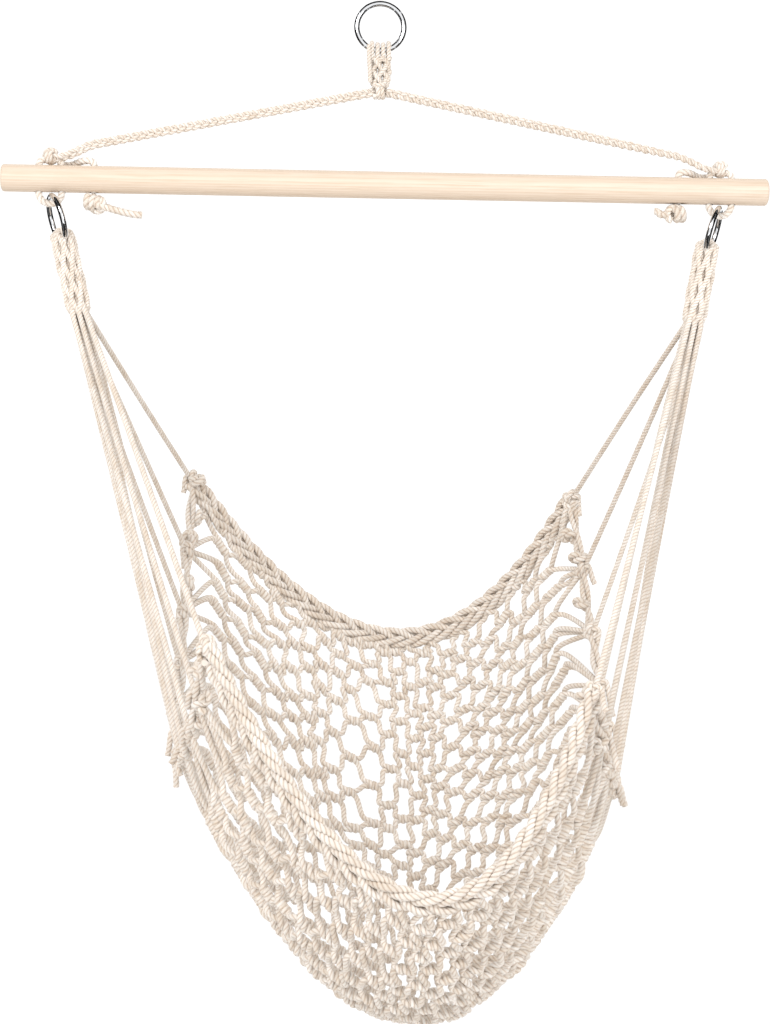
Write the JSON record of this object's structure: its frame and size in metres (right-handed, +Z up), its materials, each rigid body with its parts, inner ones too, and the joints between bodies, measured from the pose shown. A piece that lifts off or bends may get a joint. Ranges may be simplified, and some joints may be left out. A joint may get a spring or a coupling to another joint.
{
  "type": "hanging rope hammock chair",
  "caption": "Hanging hammock chair: a knotted cotton rope net carried by rope fans from rings under a wooden spreader bar, hung from one steel ring.",
  "frame": {"origin": "inside top of the hanging ring, where the hook that carries the chair touches it", "axes": "+X runs along the spreader bar to the right, +Y points to the back of the seat, +Z points up"},
  "size_m": [0.8, 0.5175, 1.0465],
  "materials": {
    "cotton_rope": "matte",
    "pale_wood": "satin",
    "chromed_steel": "polished"
  },
  "bodies": {
    "ring": {"hanging_ring": "chromed_steel"},
    "head": {"plaited_head": "cotton_rope"},
    "yoke": {"spreader_bar": "pale_wood", "suspension_rope_left": "cotton_rope", "suspension_rope_right": "cotton_rope", "bar_knot_left": "cotton_rope", "bar_knot_right": "cotton_rope", "ring_loop_left": "cotton_rope", "ring_loop_right": "cotton_rope", "tail_rope_left": "cotton_rope", "tail_rope_right": "cotton_rope", "stopper_knot_left": "cotton_rope", "stopper_knot_right": "cotton_rope"},
    "left_ring": {"side_ring_left": "chromed_steel"},
    "right_ring": {"side_ring_right": "chromed_steel"},
    "seat": {"clew_head_left": "cotton_rope", "clew_head_right": "cotton_rope", "clew_rope_left_01": "cotton_rope", "clew_rope_left_02": "cotton_rope", "clew_rope_left_03": "cotton_rope", "clew_rope_left_04": "cotton_rope", "clew_rope_left_05": "cotton_rope", "clew_rope_left_06": "cotton_rope", "clew_rope_left_07": "cotton_rope", "clew_rope_left_08": "cotton_rope", "clew_rope_left_09": "cotton_rope", "clew_rope_left_10": "cotton_rope", "clew_rope_left_11": "cotton_rope", "clew_rope_left_12": "cotton_rope", "clew_rope_right_01": "cotton_rope", "clew_rope_right_02": "cotton_rope", "clew_rope_right_03": "cotton_rope", "clew_rope_right_04": "cotton_rope", "clew_rope_right_05": "cotton_rope", "clew_rope_right_06": "cotton_rope", "clew_rope_right_07": "cotton_rope", "clew_rope_right_08": "cotton_rope", "clew_rope_right_09": "cotton_rope", "clew_rope_right_10": "cotton_rope", "clew_rope_right_11": "cotton_rope", "clew_rope_right_12": "cotton_rope", "net_back_edge": "cotton_rope", "net_back": "cotton_rope", "net_upper_seat": "cotton_rope", "net_seat": "cotton_rope", "net_front": "cotton_rope", "net_front_edge": "cotton_rope"}
  },
  "joints": [
    {"name": "head_swing", "type": "hinge", "parent": "ring", "child": "head", "pos_m": [0, 0, -0.0457], "axis": [1, 0, 0], "range_deg": [-25, 25]},
    {"name": "bar_tilt", "type": "hinge", "parent": "head", "child": "yoke", "pos_m": [0, 0, -0.088], "axis": [0, 1, 0], "range_deg": [-10, 10]},
    {"name": "left_ring_swing", "type": "hinge", "parent": "yoke", "child": "left_ring", "pos_m": [-0.34, 0, -0.212], "axis": [1, 0, 0], "range_deg": [-20, 20]},
    {"name": "right_ring_swing", "type": "hinge", "parent": "yoke", "child": "right_ring", "pos_m": [0.36, 0, -0.212], "axis": [1, 0, 0], "range_deg": [-20, 20]},
    {"name": "seat_swing", "type": "hinge", "parent": "left_ring", "child": "seat", "pos_m": [-0.33287, 0, -0.22783], "axis": [1, 0, 0], "range_deg": [-12, 12]}
  ],
  "couplings": [
    {"joint": "right_ring_swing", "follows": "left_ring_swing", "ratio": 1}
  ]
}
